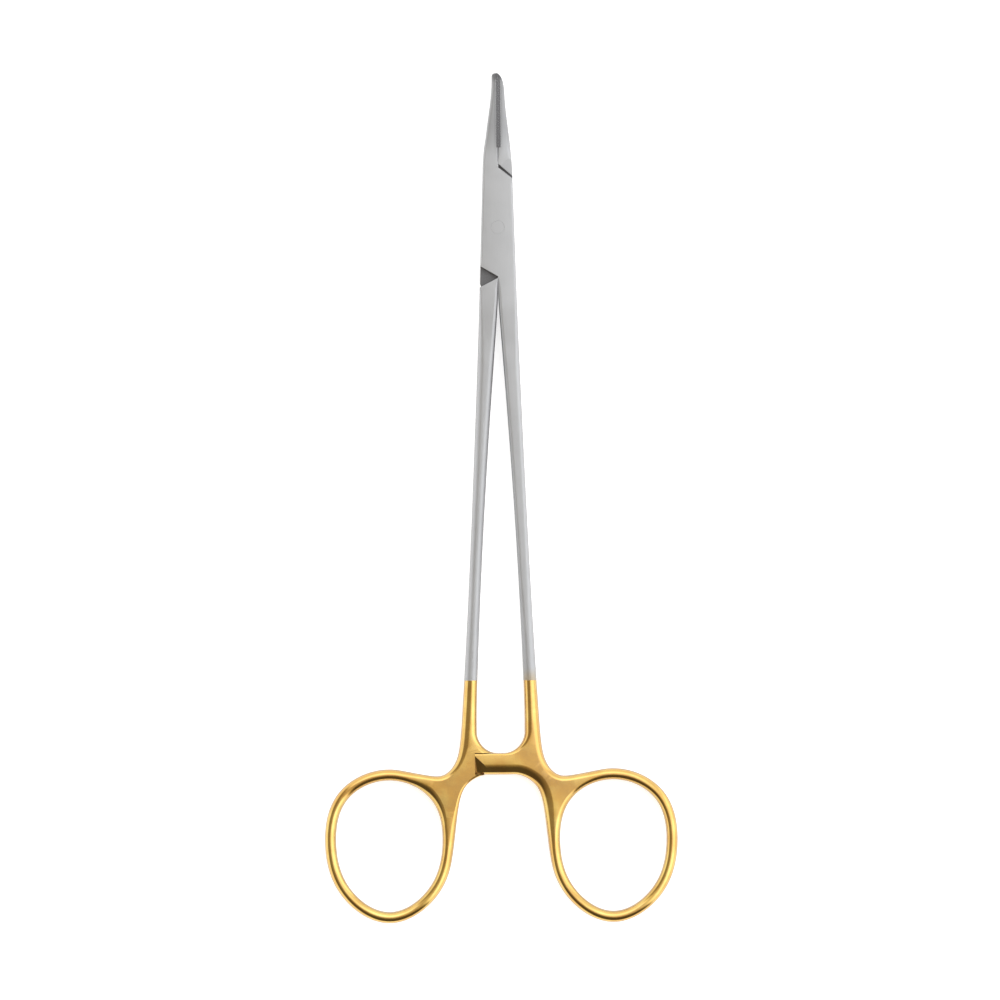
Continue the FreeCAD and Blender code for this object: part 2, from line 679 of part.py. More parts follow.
tenon_rebate = sketch_on(tenon_half, "XY_Plane", "tenon_half_rebate_outline")
draw_bound_rectangle(tenon_rebate, RIGHT_STRIP_FACE + " - sizes.strip_thickness",
                     RIGHT_STRIP_FACE + " + sizes.strip_thickness", STRIP_BACK, STRIP_FRONT)
pocket_through(tenon_half, tenon_rebate, "tenon_half_rebate")


# Pivot pin: pressed into both walls of the lock and ground flush with its faces.

pivot_pin = make_body("pivot_pin")
pin_circle = sketch_on(pivot_pin, "XY_Plane", "pivot_pin_circle")
draw_circle(pin_circle, "sizes.pin_radius")
pad(pivot_pin, pin_circle, "pivot_pin_cylinder", "sizes.lock_thickness")


# Jaw strips: brazed into the rebates, with crossed grooves over the faces that grip.

def groove_sketch(body, face, inwards, tilt):
    """Zigzag of grooves along a plane that leans by tilt about the axis across the jaws."""
    pitch = size("serration_pitch")
    depth = size("serration_depth")
    outer = face - inwards * depth
    crest = face - inwards * depth / 2
    valley = face + inwards * depth
    count = math.ceil((size("strip_length") + size("lock_thickness")) / pitch / 2)
    first = -count * pitch / 2
    corners = [point(outer, first), point(crest, first)]
    for groove in range(count):
        corners.append(point(valley, first + (groove + 0.5) * pitch))
        corners.append(point(crest, first + (groove + 1) * pitch))
    corners.append(point(outer, -first))
    sketch = sketch_on(body, "XY_Plane", f"{body.Label}_grooves_{'up' if tilt > 0 else 'down'}")
    sketch.AttachmentOffset = FreeCAD.Placement(
        point(0, jaw_face_back + size("strip_length") / 2),
        FreeCAD.Rotation(FreeCAD.Vector(1, 0, 0), tilt))
    draw_polygon(sketch, corners)
    return sketch


def jaw_strip(name, face_expression, inwards):
    """A strip that lies behind its gripping face; inwards is the side the steel jaw is on."""
    body = make_body(name)
    outline = sketch_on(body, "XY_Plane", name + "_outline")
    back = f"{face_expression} {'+' if inwards > 0 else '-'} sizes.strip_thickness"
    low, high = (face_expression, back) if inwards > 0 else (back, face_expression)
    draw_bound_rectangle(outline, low, high, STRIP_BACK, STRIP_FRONT)
    pad(body, outline, name + "_bar", "sizes.lock_thickness")
    cut_faces(body)
    face = size("jaw_seam_side") + inwards * size("strip_gap") / 2
    for tilt in (45, -45):
        sketch = groove_sketch(body, face, inwards, tilt)
        pocket_through(body, sketch, sketch.Label + "_cut")
    return body


box_jaw_insert = jaw_strip("box_jaw_insert", LEFT_STRIP_FACE, -1)
tenon_jaw_insert = jaw_strip("tenon_jaw_insert", RIGHT_STRIP_FACE, 1)


# Check the features and write each piece.

doc.recompute()
faulty = [item.Label for item in doc.Objects if {"Invalid", "Error"} & set(item.State)]
if faulty:
    raise RuntimeError(f"features that failed: {faulty}")

os.makedirs("parts", exist_ok=True)
for piece in (box_half, tenon_half, pivot_pin, box_jaw_insert, tenon_jaw_insert):
    if piece.Shape.isNull() or not piece.Shape.isValid() or len(piece.Shape.Solids) != 1:
        raise RuntimeError(f"{piece.Label} is not one sound solid")
    piece.Shape.exportStep(f"parts/{piece.Label}.step")
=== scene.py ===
import math

import bmesh
import bpy
import numpy as np
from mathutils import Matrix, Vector
from mathutils.geometry import delaunay_2d_cdt


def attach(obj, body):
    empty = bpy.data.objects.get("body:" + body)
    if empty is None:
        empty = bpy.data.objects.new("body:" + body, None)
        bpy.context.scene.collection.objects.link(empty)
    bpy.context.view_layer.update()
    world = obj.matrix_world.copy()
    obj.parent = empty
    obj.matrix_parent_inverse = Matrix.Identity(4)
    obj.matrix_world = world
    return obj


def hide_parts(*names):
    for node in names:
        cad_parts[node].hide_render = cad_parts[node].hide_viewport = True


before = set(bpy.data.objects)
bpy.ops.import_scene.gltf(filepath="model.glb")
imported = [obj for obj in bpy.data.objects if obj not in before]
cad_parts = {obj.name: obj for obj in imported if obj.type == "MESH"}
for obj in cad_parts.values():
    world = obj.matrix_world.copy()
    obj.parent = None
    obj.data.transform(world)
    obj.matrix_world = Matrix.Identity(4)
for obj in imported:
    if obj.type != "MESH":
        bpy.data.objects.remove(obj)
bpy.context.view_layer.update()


# Right half. One steel forging: the left jaw, the slotted walls of the lock, the right shank,
# its finger ring and the upper ratchet arm. It is ground and satin finished, and its handle is
# polished and gold plated.

MM = 0.001            # sizes are in millimetres, from the pivot: x to the right, y to the tip
COARSE_STEP = 0.4     # between points along shanks and rings
FINE_STEP = 0.2       # between points along jaws and small corners


def even_steps(points, step):
    """The same polyline with its points moved to equal steps along its length."""
    travelled = np.concatenate([[0], np.cumsum(np.linalg.norm(np.diff(points, axis=0), axis=1))])
    stations = np.linspace(0, travelled[-1], max(2, math.ceil(travelled[-1] / step) + 1))
    return np.column_stack([np.interp(stations, travelled, points[:, axis]) for axis in (0, 1)])


def straight(start, end):
    """Straight line between two points."""
    return even_steps(np.array([start, end], float), FINE_STEP)


def arc(centre, radius, start, end, step=FINE_STEP):
    """Circular arc between two angles in degrees: the centre plus the radius times the cosine
    and sine of the angle."""
    angles = np.radians(np.linspace(start, end, 60))
    turn = np.column_stack([np.cos(angles), np.sin(angles)])
    return even_steps(np.array(centre) + radius * turn, step)


def flow(control_points, step=COARSE_STEP):
    """Clamped uniform B-spline of degree three: each point is the sum of the control points times
    their basis functions. A basis function of one degree is the sum of two neighbours of the
    degree below, one times the share of its knots already passed, the other times the share still
    to come, and those of degree zero are 1 between two knots."""
    poles = np.array(control_points, float)
    knots = np.concatenate([[0] * 3, np.linspace(0, 1, len(poles) - 2), [1] * 3])
    t = np.linspace(0, 1 - 1e-9, 800)[:, None]
    basis = ((t >= knots[:-1]) & (t < knots[1:])).astype(float)
    for degree in (1, 2, 3):
        rise = knots[degree:-1] - knots[:-degree - 1]
        fall = knots[degree + 1:] - knots[1:-degree]
        up = (t - knots[:-degree - 1]) / np.where(rise > 0, rise, np.inf)
        down = (knots[degree + 1:] - t) / np.where(fall > 0, fall, np.inf)
        basis = up * basis[:, :-1] + down * basis[:, 1:]
    return even_steps(basis @ poles, step)


# The finger ring is an egg-shaped hole, given by its half sizes and its four corners, in a rim of
# even width. The rim runs from where the arch enters it to where the valley leaves it.

RING_MIDDLE = np.array([23.75, -131.0])
HOLE_HALF = np.array([11.2, 13.9])
HOLE_SHOULDER = (9.1, 9.5)
HOLE_HIP = (8.7, 8.35)
RING_WALL = 2.445
RIM_SHARES = (0.06, 0.775)


def ring_run(wall, shares):
    """Part of the closed curve through the four extremes and four corners of the finger hole,
    each moved out by the wall. The curve is the cubic spline with chord-length stations whose
    tangents solve the periodic system that keeps its curvature continuous."""
    wide, high = HOLE_HALF
    offsets = np.array([(-wide, 0), (-HOLE_HIP[0], -HOLE_HIP[1]), (0, -high),
                        (HOLE_HIP[0], -HOLE_HIP[1]), (wide, 0), HOLE_SHOULDER, (0, high),
                        (-HOLE_SHOULDER[0], HOLE_SHOULDER[1])])
    outward = offsets / HOLE_HALF ** 2
    outward /= np.linalg.norm(outward, axis=1)[:, None]
    places = RING_MIDDLE + offsets + outward * wall
    after = np.roll(places, -1, axis=0)
    before = np.roll(places, 1, axis=0)
    legs = np.linalg.norm(after - places, axis=1)
    previous = np.roll(legs, 1)
    count = len(places)
    rows = np.arange(count)
    system = np.zeros((count, count))
    system[rows, rows - 1] = 1 / previous
    system[rows, rows] = 2 / previous + 2 / legs
    system[rows, (rows + 1) % count] = 1 / legs
    known = 3 * ((places - before) / previous[:, None] ** 2 + (after - places) / legs[:, None] ** 2)
    tangents = np.linalg.solve(system, known)
    stations = np.concatenate([[0], np.cumsum(legs)])
    at = np.linspace(shares[0], shares[1], 1500) * stations[-1]
    leg = np.clip(np.searchsorted(stations, at, side="right") - 1, 0, count - 1)
    following = (leg + 1) % count
    span = legs[leg][:, None]
    s = ((at - stations[leg]) / legs[leg])[:, None]
    curve = ((2 * s ** 3 - 3 * s ** 2 + 1) * places[leg]
             + (s ** 3 - 2 * s ** 2 + s) * span * tangents[leg]
             + (3 * s ** 2 - 2 * s ** 3) * places[following]
             + (s ** 3 - s ** 2) * span * tangents[following])
    return even_steps(curve, COARSE_STEP)


# The lock's sides are straight and part a little towards the handles. Behind it the shank runs
# back to a neck, flares into the cheek beside the ring and sends the ratchet arm to the left.

LOCK_SIDE_FRONT = np.array([3.14, 12.0])
LOCK_SIDE_BACK = np.array([3.94, -14.0])
SIDE_RUN = (LOCK_SIDE_BACK - LOCK_SIDE_FRONT) / np.linalg.norm(LOCK_SIDE_BACK - LOCK_SIDE_FRONT)
HALF_SEAM = 0.03      # half the gap in which the shanks leave the lock

SHANK_INNER = [(0.74, -25), (3.68, -64.9)]      # control points of the shank's edges
SHANK_OUTER = (6.16, -70.8)
NECK_INNER = np.array([5.03, -104.4])
NECK_OUTER = np.array([8.25, -104.4])
NECK_FLARE = np.array([0.066, -1.0]) / math.hypot(0.066, 1)
CHEEK = (9.24, -113.4)                          # control points between neck and ring
VALLEY = (12.2, -116.7)
GAP_ROUND = 4.6
ARM_TOP = -111.35
ARM_BOTTOM = -115.95
ARM_REACH = 5.5       # how far an arm passes the middle line
ARM_PLAY = 0.05
ARCH_FLAT = 3.0       # half the width of the level top of the arch below the arms
ARCH_CURVE = [(ARCH_FLAT + 1.2, ARM_BOTTOM), (7.43, -117.4), (9.26, -121.7)]

SHARP = 0.06          # rounding of an edge that is only broken
SIDE_ROUND = 0.5      # rounding of the lock's sides
RIM_ROUND = 1.15      # rounding of the rings


def side_at(front):
    """Point of the lock's straight right side at a station along the part."""
    return LOCK_SIDE_FRONT + SIDE_RUN * ((front - LOCK_SIDE_FRONT[1]) / SIDE_RUN[1])


def run(points, *roundings):
    """A stretch of an outline: its points, and the rounding of its edge at each of them, which
    goes through the given values at equal steps along it."""
    shares = np.linspace(0, 1, len(points))
    keys = np.linspace(0, 1, len(roundings))
    rounding = np.interp(shares, keys, roundings) if len(roundings) > 1 else shares * 0 + roundings[0]
    return np.column_stack([points, rounding])


def closed(runs):
    """One loop of runs, without the points in which they meet twice."""
    return np.vstack([piece[:-1] for piece in runs])


def handle_runs(top_inner, top_outer, reach, rounds):
    """Edge of the right handle: down the inside of the shank, round the ratchet arm, the arch and
    the ring, and up the outside to the lock. The arm goes past the middle by its reach, and
    rounds gives the roundings of each stretch."""
    crotch = np.array([HALF_SEAM, LOCK_SIDE_BACK[1]])
    inner = flow([crotch, crotch - (0, 1.5), *SHANK_INNER, NECK_INNER + (0, 6), NECK_INNER])
    gap_centre = (NECK_INNER[0] - GAP_ROUND, ARM_TOP + GAP_ROUND)
    top_corner, bottom_corner = rounds["arm corners"]
    upper = (-reach + top_corner, ARM_TOP - top_corner)
    lower = (-reach + bottom_corner, ARM_BOTTOM + bottom_corner)
    top_round, end_round, bottom_round = rounds["arm"]
    rim = ring_run(RING_WALL, RIM_SHARES)
    rim_in = (rim[0] - rim[1]) / np.linalg.norm(rim[0] - rim[1])
    rim_out = (rim[-1] - rim[-2]) / np.linalg.norm(rim[-1] - rim[-2])
    arch = flow([(ARCH_FLAT, ARM_BOTTOM), *ARCH_CURVE, rim[0] + rim_in * 3.0, rim[0]])
    valley = flow([rim[-1], rim[-1] + rim_out * 6.0, VALLEY, CHEEK,
                   NECK_OUTER + NECK_FLARE * 5.35, NECK_OUTER])
    outer = flow([NECK_OUTER, NECK_OUTER - NECK_FLARE * 12, SHANK_OUTER,
                  LOCK_SIDE_BACK + SIDE_RUN * 8, LOCK_SIDE_BACK])
    return [run(straight(top_inner, crotch), SHARP, 0.35, 0.6, 0.7),
            run(inner, *rounds["inner"]),
            run(straight(NECK_INNER, (NECK_INNER[0], gap_centre[1])), rounds["inner"][-1]),
            run(arc(gap_centre, GAP_ROUND, 0, -90), rounds["inner"][-1], top_round),
            run(straight((gap_centre[0], ARM_TOP), (upper[0], ARM_TOP)), top_round),
            run(arc(upper, top_corner, 90, 180, FINE_STEP / 2), top_round, end_round),
            run(straight((-reach, upper[1]), (-reach, lower[1])), end_round, bottom_round),
            run(arc(lower, bottom_corner, 180, 270), bottom_round),
            run(straight((lower[0], ARM_BOTTOM), (ARCH_FLAT, ARM_BOTTOM)), bottom_round),
            run(arch, bottom_round, *rounds["arch"]),
            run(rim, RIM_ROUND),
            run(valley, *rounds["valley"]),
            run(outer, *rounds["outer"]),
            run(straight(LOCK_SIDE_BACK, top_outer), SIDE_ROUND)]


# The forging is thickest at the lock, on which it rests, and thins out to the handles and the tip.
# Its faces are level across and its edges are rounded.

MIDDLE_PLANE = 2.5    # height of the middle plane, and half the thickness of the lock
SHANK_HALF = 2.05
HANDLE_HALF = 1.65
NOSE_HALF = 1.1
TIP = 32.8
DEEPEST_ROUND = 1.35
ROUND_STEPS = 14


def half_thickness(front):
    """Half the thickness of the part at a station along it: level handles and lock, and smooth
    flows between them and down to the tip."""
    lock = MIDDLE_PLANE
    taper = flow([(-104, HANDLE_HALF), (-84.5, HANDLE_HALF), (-45.5, 1.95), (-26, SHANK_HALF)])
    shoulder = flow([(-26, SHANK_HALF), (-22.33, 2.069), (-18.67, lock), (-15, lock)])
    jaw = flow([(14, lock), (20.27, lock), (26.572, 1.796), (TIP, NOSE_HALF)])
    profile = np.vstack([taper, shoulder[1:], jaw])
    return np.interp(front, profile[:, 0], profile[:, 1])


def inward_normals(loop):
    """At each point of a loop with the material on its left, the direction into the material,
    lengthened at a corner so that both sides keep their distance."""
    ahead = np.roll(loop[:, :2], -1, axis=0) - loop[:, :2]
    ahead /= np.linalg.norm(ahead, axis=1)[:, None]
    left = np.column_stack([-ahead[:, 1], ahead[:, 0]])
    before = np.roll(left, 1, axis=0)
    return (left + before) / (1 + (left * before).sum(axis=1))[:, None]


def inside(points, loops):
    """Whether each point lies within the loops: a line to its right crosses them an odd number
    of times."""
    crossings = np.zeros(len(points), int)
    for loop in loops:
        a, b = loop[:, :2], np.roll(loop[:, :2], -1, axis=0)
        px, py = points[:, :1], points[:, 1:2]
        spans = (a[:, 1] > py) != (b[:, 1] > py)
        rise = np.where(a[:, 1] == b[:, 1], 1, b[:, 1] - a[:, 1])
        meets = a[:, 0] + (py - a[:, 1]) * (b[:, 0] - a[:, 0]) / rise
        crossings += (spans & (px < meets)).sum(axis=1)
    return crossings % 2 == 1


def mesh_object(name, vertices, faces, materials=()):
    """An object in the scene from vertices in millimetres and faces."""
    mesh = bpy.data.meshes.new(name)
    mesh.from_pydata(vertices * MM, [], faces)
    for material in materials:
        mesh.materials.append(material)
    piece = bpy.data.objects.new(name, mesh)
    bpy.context.scene.collection.objects.link(piece)
    return piece


def forging(name, loops, materials):
    """A flat forging with rounded edges. Across an edge of rounding r the surface is a quarter
    turn: at the angle a it lies r (1 - cos a) inside the outline and d (1 - sin a) below the
    face, where d is r but no more than the deepest round. The faces between are triangulated
    from the innermost rows."""
    turn = np.linspace(0, math.pi / 2, ROUND_STEPS + 1)[:, None]
    vertices, faces, rims = [], [], []
    start = 0
    for loop in loops:
        count = len(loop)
        rounding = loop[:, 2]
        plan = loop[:, :2] + (rounding * (1 - np.cos(turn)))[:, :, None] * inward_normals(loop)
        depth = np.minimum(rounding, DEEPEST_ROUND)
        height = half_thickness(plan[:, :, 1]) - depth * (1 - np.sin(turn))
        upper = np.dstack([plan, MIDDLE_PLANE + height]).reshape(-1, 3)
        lower = np.dstack([plan, MIDDLE_PLANE - height]).reshape(-1, 3)
        vertices += [upper, lower]
        rows = np.arange((ROUND_STEPS + 1) * count).reshape(-1, count)
        after = np.roll(rows, -1, axis=1)
        top = np.stack([rows[:-1], after[:-1], after[1:], rows[1:]], axis=-1).reshape(-1, 4)
        wall = np.stack([rows[0] + len(upper), after[0] + len(upper), after[0], rows[0]], axis=-1)
        faces += [start + top, start + len(upper) + top[:, ::-1], start + wall]
        rims.append((plan[-1], start + rows[-1], len(upper)))
        start += 2 * len(upper)
    flat_points = np.vstack([rim[0] for rim in rims])
    flat_index = np.concatenate([rim[1] for rim in rims])
    below = np.concatenate([rim[1] + rim[2] for rim in rims])
    edges, first = [], 0
    for rim in rims:
        ids = first + np.arange(len(rim[0]))
        edges += np.column_stack([ids, np.roll(ids, -1)]).tolist()
        first += len(ids)
    found = delaunay_2d_cdt([Vector(point) for point in flat_points], edges, [], 0, 1e-7)
    if len(found[0]) != len(flat_points):
        extra = [tuple(round(v, 3) for v in p) for p, ids in zip(found[0], found[3]) if not ids]
        raise RuntimeError(f"{name}: the roundings of two edges meet {extra[:8]}")
    order = np.array([ids[0] for ids in found[3]])
    triangles = order[np.array(found[2])]
    corners = flat_points[triangles]
    triangles = triangles[inside(corners.mean(axis=1), [rim[0] for rim in rims])]
    a, b, c = (flat_points[triangles[:, corner]] for corner in range(3))
    area = (b[:, 0] - a[:, 0]) * (c[:, 1] - a[:, 1]) - (b[:, 1] - a[:, 1]) * (c[:, 0] - a[:, 0])
    triangles = np.where(area[:, None] > 0, triangles, triangles[:, ::-1])
    quads = np.vstack(faces).tolist()
    flats = flat_index[triangles].tolist() + below[triangles][:, ::-1].tolist()
    return mesh_object(name, np.vstack(vertices), quads + flats, materials)


# The finish, on the faces of both forgings: satin steel in front, gold plating behind.

PLATING_EDGE = -0.0959     # in metres, as all places in a material are


class Signal:
    """An output of a node tree. Arithmetic on signals and numbers adds Math nodes, and any other
    node comes from add."""

    def __init__(self, tree, socket=None):
        self.tree = tree
        self.socket = socket

    def connect(self, node, sockets):
        """Gives a node's sockets their links or values."""
        for name, value in sockets.items():
            if isinstance(value, Signal):
                self.tree.links.new(value.socket, node.inputs[name])
            else:
                node.inputs[name].default_value = value

    def add(self, kind, settings=None, sockets=None, output=0):
        """A node of a type: its settings are set first, then its sockets' values or links."""
        node = self.tree.nodes.new(kind)
        for name, value in (settings or {}).items():
            setattr(node, name, value)
        self.connect(node, sockets or {})
        return Signal(self.tree, node.outputs[output])

    def math(self, operation, first, second):
        return self.add("ShaderNodeMath", {"operation": operation}, {0: first, 1: second})

    def __add__(self, other):
        return self.math("ADD", self, other)

    def __radd__(self, other):
        return self.math("ADD", other, self)

    def __sub__(self, other):
        return self.math("SUBTRACT", self, other)

    def __rsub__(self, other):
        return self.math("SUBTRACT", other, self)

    def __mul__(self, other):
        return self.math("MULTIPLY", self, other)

    def __rmul__(self, other):
        return self.math("MULTIPLY", other, self)

    def __truediv__(self, other):
        return self.math("DIVIDE", self, other)

    def __neg__(self):
        return self.math("MULTIPLY", self, -1)

    def __abs__(self):
        return self.math("ABSOLUTE", self, 0)

    def __lt__(self, other):
        return self.math("LESS_THAN", self, other)

    def step(self, low, high):
        """0 below low, 1 above high and a smooth rise between. It falls where low is above high."""
        return self.add("ShaderNodeMapRange", {"interpolation_type": "SMOOTHSTEP"},
                        {"Value": self, "From Min": low, "From Max": high})

    def blend(self, first, second):
        """Colour that goes from first to second as this signal goes from 0 to 1."""
        return self.add("ShaderNodeMix", {"data_type": "RGBA"},
                        {0: self, 6: first, 7: second}, output=2)

    def axis(self, number):
        """One of the three parts of this vector."""
        return self.add("ShaderNodeSeparateXYZ", None, {0: self}, output=number)

    def stretched(self, scale):
        """This vector with each axis multiplied by its own factor."""
        return self.add("ShaderNodeVectorMath", {"operation": "MULTIPLY"}, {0: self, 1: scale})

    def noise(self, scale, detail):
        """Noise of a scale at the place that this vector gives."""
        return self.add("ShaderNodeTexNoise", None,
                        {"Vector": self, "Scale": scale, "Detail": detail})


def new_material(name):
    """A material, its Principled shader and a signal to grow its nodes from."""
    material = bpy.data.materials.new(name)
    material.use_nodes = True
    tree = material.node_tree
    return material, tree.nodes["Principled BSDF"], Signal(tree)


def plated_steel(name):
    """Satin steel with fine grinding lines along the part, and polished gold plating from the
    plating edge back. A breath of gold has crept over the edge. The faces are a little uneven,
    and those of the lock and jaws are ground to a slight crown. The upright walls are painted
    dark, painted shade for the dark edges round the part. The web between the arms is painted
    darker, painted shade for the dim light it reflects. The jaws are coloured darker, most
    beside the strips and at the nose."""
    steel_dark, steel_light = (0.43, 0.437, 0.447, 1), (0.565, 0.573, 0.586, 1)
    gold_dark, gold_light = (0.70, 0.385, 0.04, 1), (0.80, 0.545, 0.105, 1)
    # Painted shade: the darker colours of the upright walls.
    dull_steel, dull_gold = (0.42, 0.42, 0.425, 1), (0.20, 0.10, 0.03, 1)
    stain_colour, creep_colour = (0.14, 0.14, 0.145, 1), (0.48, 0.37, 0.20, 1)
    strip_middle, web_middle = 0.00025, -0.1137

    material, shader, root = new_material(name)
    place = root.add("ShaderNodeTexCoord", output="Object")
    facing = root.add("ShaderNodeTexCoord", output="Normal")
    side, front = place.axis(0), place.axis(1)
    # Upright walls, which get the painted shade colours that stand for the dark edges round the part.
    wall = 1 - abs(facing.axis(2)).step(0.3, 0.82)
    gold = front < PLATING_EDGE
    lines = place.stretched((5200, 160, 5200)).noise(1.0, 3.0)
    grain = place.noise(7000, 2.0)
    cloud = place.noise(180, 3.0)
    swell = place.noise(90, 1.0)

    steel = (lines * 0.5 + cloud * 0.5).blend(steel_dark, steel_light)
    beside_strips = 1 - abs(side - strip_middle).step(0.0003, 0.0012)
    # The jaws are coloured darker overall, and darker still beside the strips and at the nose.
    stain = front.step(0.0145, 0.019) * beside_strips * 0.3 + front.step(0.0305, 0.0324) * 0.4
    stained = (stain + front.step(0.0135, 0.022) * 0.36).blend(steel, stain_colour)
    creep = front.step(PLATING_EDGE + 0.003, PLATING_EDGE) * side.step(0.0, 0.004) * 0.6
    # Painted shade: the web between the arms is coloured darker and more orange, for the dim light it
    # reflects.
    web = 1 - abs(front - web_middle).step(0.003, 0.009)
    plating = (cloud.step(0.35, 0.7) - web * 0.5).blend(gold_dark, gold_light)
    bright = gold.blend(creep.blend(stained, creep_colour), plating)
    colour = wall.blend(bright, gold.blend(dull_steel, dull_gold))

    satin = 0.45 + lines * 0.12 + grain * 0.06
    polish = 0.10 + cloud * 0.05 + grain * 0.03
    crown = side * side * (front.step(-0.03, -0.012) * -10 - front.step(0.013, 0.022) * 38)
    uneven = cloud * 2e-5 + swell * gold * 2e-4
    scratches = (lines * 1.5e-6 + grain * 1e-6) * (1 - gold * 0.8)
    relief = root.add("ShaderNodeBump", None,
                      {"Strength": 1.0, "Distance": 1.0, "Height": crown + uneven + scratches})
    root.connect(shader, {
        "Base Color": colour, "Roughness": gold * polish + (1 - gold) * satin, "Normal": relief,
        "Metallic": 1.0, "Coat Weight": gold, "Coat IOR": 1.95, "Coat Roughness": 0.08})
    return material


def joint_steel(name):
    """The faces inside the lock: pickled, unpolished steel, dull, with its colour painted dark,
    painted shade for the lock's recesses and gaps.
    """
    material, shader, root = new_material(name)
    grain = root.add("ShaderNodeTexCoord", output="Object").noise(3500, 4.0)
    relief = root.add("ShaderNodeBump", None, {"Strength": 0.3, "Distance": 0.00002, "Height": grain})
    root.connect(shader, {
        "Base Color": grain.blend((0.13, 0.13, 0.135, 1), (0.24, 0.24, 0.245, 1)),
        "Roughness": 0.45 + grain * 0.2, "Normal": relief, "Metallic": 1.0})
    return material


FORGED = [plated_steel("plated_steel"), joint_steel("joint_steel")]
# INNER puts the painted shade colour on the faces of the slot, the holes, the strip beds and the
# tongue.
INNER = [FORGED[1]]


# The machining: the lock's slot and pin hole, the ratchet teeth, small facets and the beds of the
# strips are all cut out of the forging with straight-sided blocks.

BELOW, ABOVE = -1, 6       # heights clear of the part


def prism(name, corners, shift, materials):
    """A polygon swept along a straight line. corners and shift have three coordinates."""
    corners = np.array(corners, float)
    count = len(corners)
    ids = np.arange(count)
    sides = np.column_stack([ids, np.roll(ids, -1), np.roll(ids, -1) + count, ids + count])
    ends = [ids[::-1].tolist(), (ids + count).tolist()]
    piece = mesh_object(name, np.vstack([corners, corners + shift]), ends + sides.tolist(), materials)
    shell = bmesh.new()
    shell.from_mesh(piece.data)
    bmesh.ops.recalc_face_normals(shell, faces=shell.faces)
    shell.to_mesh(piece.data)
    shell.free()
    return piece


def block(name, plan, low, high, materials):
    """A polygon in plan, raised from a low to a high level."""
    return prism(name, [(x, y, low) for x, y in plan], (0, 0, high - low), materials)


def combine(piece, tool, operation="DIFFERENCE"):
    """Cuts the tool out of the piece or joins it, and removes the tool."""
    change = piece.modifiers.new("change", "BOOLEAN")
    change.operation = operation
    change.solver = "EXACT"
    change.material_mode = "TRANSFER"
    change.object = tool
    result = bpy.data.meshes.new_from_object(
        piece.evaluated_get(bpy.context.evaluated_depsgraph_get()))
    piece.modifiers.clear()
    old = piece.data
    piece.data = result
    result.name = piece.name
    bpy.data.meshes.remove(old)
    bpy.data.objects.remove(tool)


def circle(radius):
    """Corners of a circle round the pivot."""
    angles = np.linspace(0, 2 * math.pi, 64, endpoint=False)
    return np.column_stack([np.cos(angles), np.sin(angles)]) * radius


def meeting_point(a, b, c, d):
    """Where the straight lines through a and b and through c and d cross."""
    a, b, c, d = (np.array(place, float) for place in (a, b, c, d))
    run_a, run_b, offset = b - a, d - c, c - a
    turn = run_a[0] * run_b[1] - run_a[1] * run_b[0]
    return a + run_a * ((offset[0] * run_b[1] - offset[1] * run_b[0]) / turn)


def mirrored_point(place):
    """The same point on the other side of the middle line."""
    return np.array([-place[0], place[1]])


SIDE_FOOT = LOCK_SIDE_FRONT - SIDE_RUN * (LOCK_SIDE_FRONT @ SIDE_RUN)
HUB_RADIUS = np.linalg.norm(SIDE_FOOT)
STOP_ANGLE = math.radians(60)


def stop_line(foot, play):
    """Two points of the line that a side of the lock reaches when it has turned to the stop."""
    turned = np.array([[math.cos(STOP_ANGLE), math.sin(STOP_ANGLE)],
                       [-math.sin(STOP_ANGLE), math.cos(STOP_ANGLE)]]) @ foot
    outward = turned / np.linalg.norm(turned)
    start = outward * (HUB_RADIUS + play)
    return start, start + (-outward[1], outward[0])


def cut_ratchet(piece, side):
    """Takes away half the thickness of an arm and of the step for the other one, and leaves
    three teeth standing. Side 1 keeps the upper part, side -1 the lower."""
    teeth, pitch, crest, floor, clear = 3, 1.5, 0.05, 0.55, 3.3
    reach = ARM_REACH + ARM_PLAY
    outline = [(reach, -clear), (reach, floor), (teeth / 2 * pitch, floor)]
    for tooth in range(teeth):
        start = teeth / 2 - tooth
        outline += [(start * pitch, crest), ((start - 1) * pitch, floor)]
    outline += [(-reach, floor), (-reach, -clear)]
    corners = [(side * x, ARM_TOP + ARM_PLAY, MIDDLE_PLANE + side * z) for x, z in outline]
    sweep = (0, ARM_BOTTOM - ARM_TOP - 2 * ARM_PLAY, 0)
    combine(piece, prism("ratchet_cut", corners, sweep, FORGED))


def cut_facet(piece, start, end, tilt, height, face=1):
    """Cuts a slanting facet on the upper (1) or lower (-1) face. It begins at the line from start
    to end, at a height, and falls to the line's right at a tilt in degrees."""
    wide, above = 5, 4
    start, end = np.array(start), np.array(end)
    along = (end - start) / np.linalg.norm(end - start)
    fall = np.array([along[1], -along[0]])
    low = height - wide * math.tan(math.radians(tilt))
    corners = [(*(start - along + fall * across), MIDDLE_PLANE + face * level)
               for across, level in ((0, height), (wide, low), (wide, above), (0, above))]
    length = np.linalg.norm(end - start) + 3
    combine(piece, prism("facet", corners, (*(along * length), 0), FORGED))


JAW_FACE_BACK = 16.9
STRIP_FRONT = 31.6


def cut_rebate(piece, left, right):
    """Takes the bed of a jaw strip out of a jaw, between two distances from the middle line."""
    bed = [(left, JAW_FACE_BACK), (right, JAW_FACE_BACK), (right, STRIP_FRONT), (left, STRIP_FRONT)]
    combine(piece, block("rebate", bed, BELOW, ABOVE, INNER))


def finish_normals(piece):
    """Smooth shading with sharp edges where faces meet at more than 12 degrees."""
    mesh = piece.data
    mesh.shade_smooth()
    mesh.set_sharp_from_angle(angle=math.radians(12))
    weigh = piece.modifiers.new("even_faces", "WEIGHTED_NORMAL")
    weigh.keep_sharp = True


# The right half itself. The lock's walls end in slanting edges in front and behind, and the left
# jaw runs from its root beside the lock to a blunt nose.

